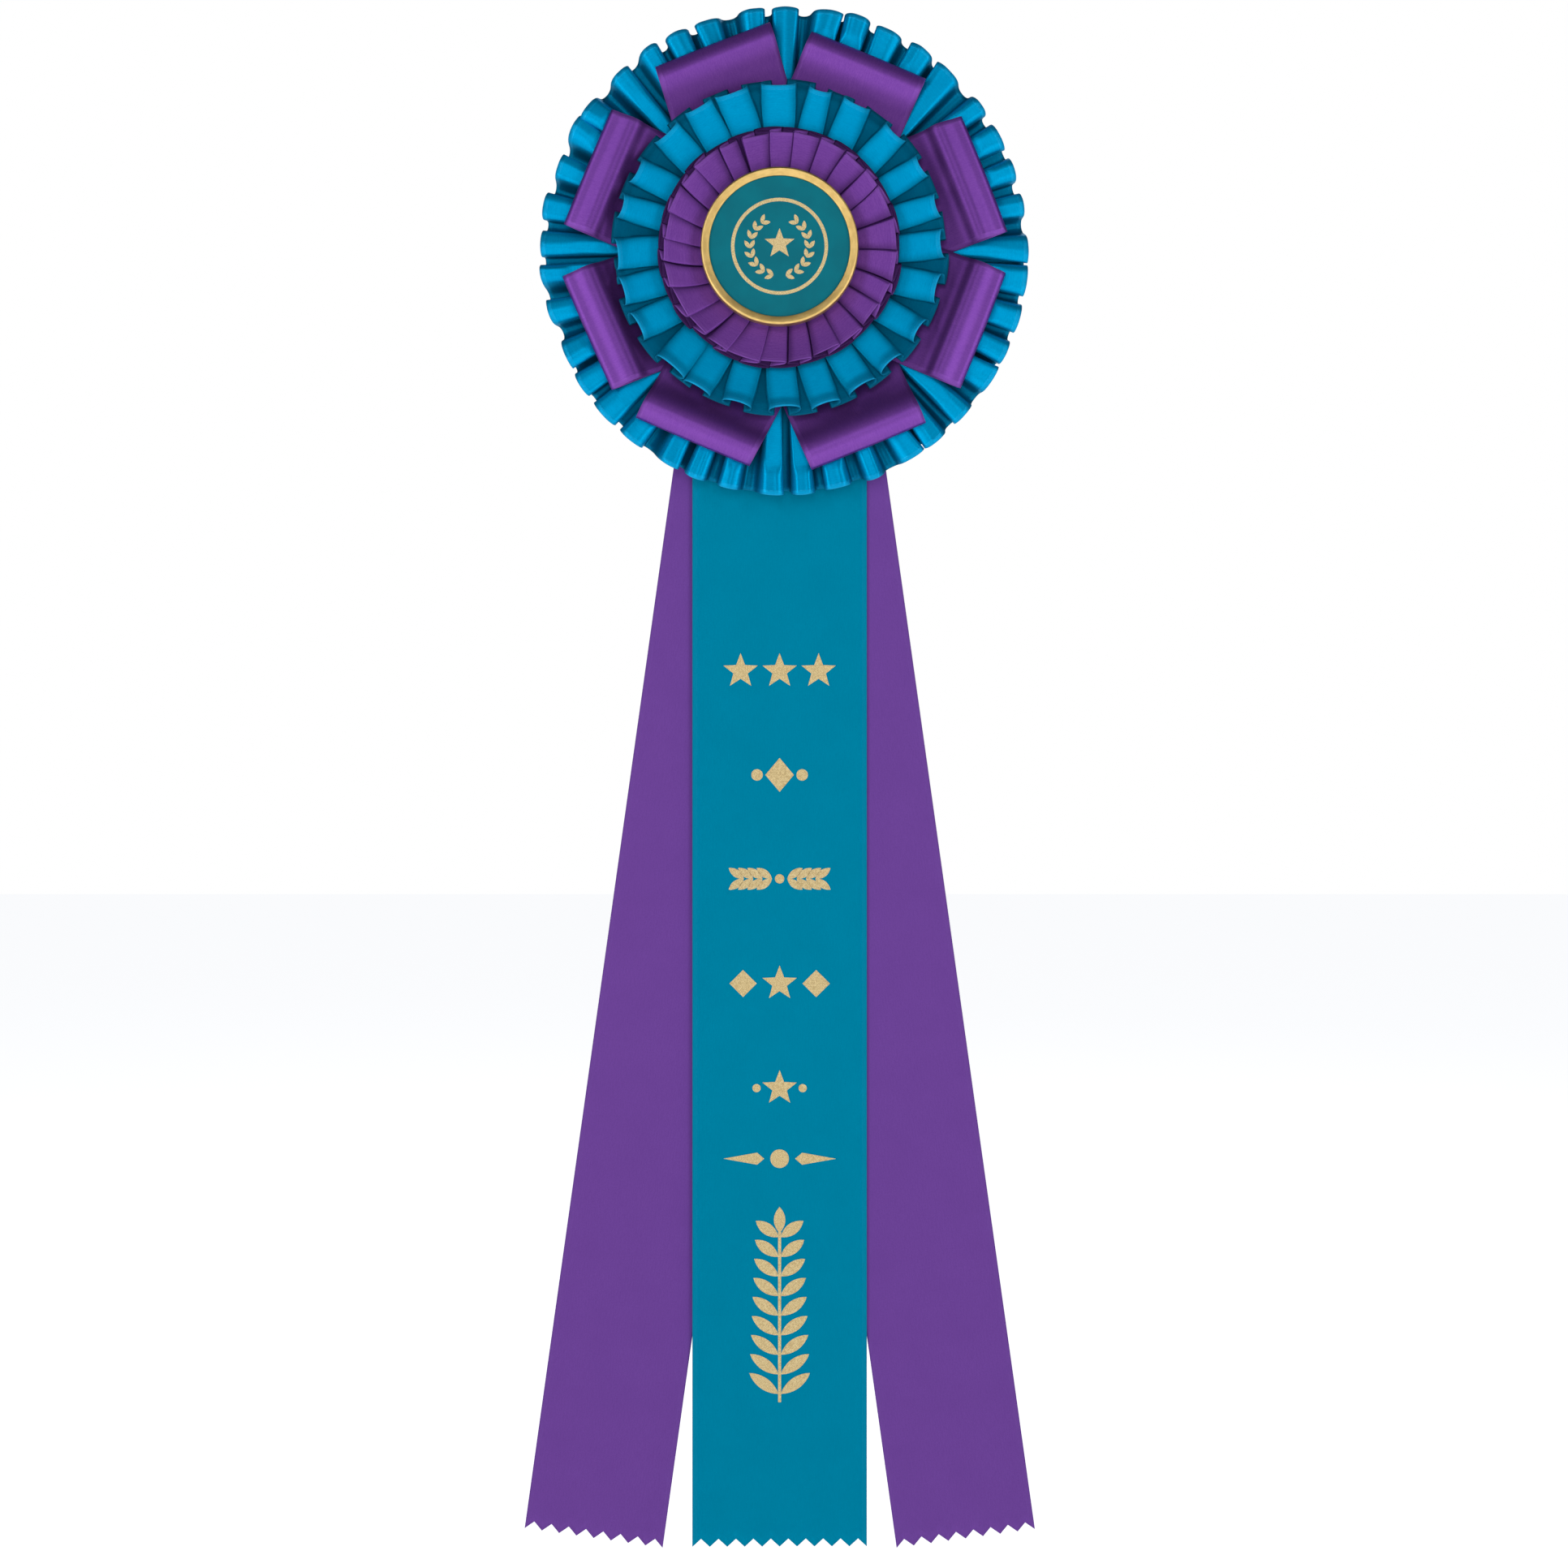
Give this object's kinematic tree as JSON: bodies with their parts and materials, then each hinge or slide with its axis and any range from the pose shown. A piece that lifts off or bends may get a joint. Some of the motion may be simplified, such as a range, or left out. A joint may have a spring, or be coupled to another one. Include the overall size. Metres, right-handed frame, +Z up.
{
  "type": "award ribbon",
  "caption": "Award rosette: pleated satin ruffles and folded petals round a metal-rimmed button, with hanging pinked streamers and a bar pin behind.",
  "frame": {"origin": "on the axis of the pin needle's shaft, midway along the bar pin, behind the rosette", "axes": "+Z up, -Y toward the viewer of the rosette's front, +X along the needle toward its tip"},
  "size_m": [0.1858, 0.026, 0.5591],
  "materials": {
    "card_white": "smooth coated card",
    "card_grey": "plain grey board",
    "staple_steel": "drawn wire",
    "teal_satin": "woven satin, bright sheen",
    "purple_satin": "woven satin, bright sheen",
    "teal_ribbon": "woven satin, flat, with gold foil print",
    "purple_ribbon": "woven satin, flat",
    "foam": "fine closed foam",
    "face_print": "flat matte printed face",
    "gold_rim": "polished gold plate with a bevel",
    "pin_steel": "nickel plated steel"
  },
  "bodies": {
    "rosette": {"back_card": "card_white", "base_card": "card_grey", "spacer_board": "card_grey", "staple_left": "staple_steel", "staple_right": "staple_steel", "outer_ruffle": "teal_satin", "middle_ruffle": "teal_satin", "inner_ruffle": "purple_satin", "petal_1": "purple_satin", "petal_2": "purple_satin", "petal_3": "purple_satin", "petal_4": "purple_satin", "petal_5": "purple_satin", "petal_6": "purple_satin", "petal_7": "purple_satin", "petal_8": "purple_satin", "button_pad": "foam", "button_board": "card_grey", "button_face": "face_print", "button_rim": "gold_rim", "centre_tab": "teal_ribbon", "left_tab": "purple_ribbon", "right_tab": "purple_ribbon", "pin_pad": "foam", "pin_bar": "pin_steel", "pin_rivet": "pin_steel"},
    "centre_tail": {"centre_streamer": "teal_ribbon"},
    "left_tail": {"left_streamer": "purple_ribbon"},
    "right_tail": {"right_streamer": "purple_ribbon"},
    "needle": {"pin_needle": "pin_steel"},
    "catch": {"catch_sleeve": "pin_steel"}
  },
  "joints": [
    {"name": "pin_hinge", "type": "hinge", "parent": "rosette", "child": "needle", "pos_m": [-0.014, 0, 0], "axis": [0, 0, 1], "range_deg": [0, 100]},
    {"name": "catch_turn", "type": "hinge", "parent": "rosette", "child": "catch", "pos_m": [0.01375, 0, 0], "axis": [1, 0, 0], "range_deg": [0, 140]},
    {"name": "centre_flap", "type": "hinge", "parent": "rosette", "child": "centre_tail", "pos_m": [0, -0.00755, -0.115], "axis": [-1, 0, 0], "range_deg": [0, 70]},
    {"name": "right_flap", "type": "hinge", "parent": "rosette", "child": "right_tail", "pos_m": [0, -0.0065, -0.115], "axis": [1, 0, 0], "range_deg": [0, 50]},
    {"name": "left_flap", "type": "hinge", "parent": "rosette", "child": "left_tail", "pos_m": [0, -0.0065, -0.115], "axis": [1, 0, 0], "range_deg": [0, 50]}
  ],
  "couplings": [
    {"joint": "left_flap", "follows": "right_flap", "ratio": 1}
  ]
}
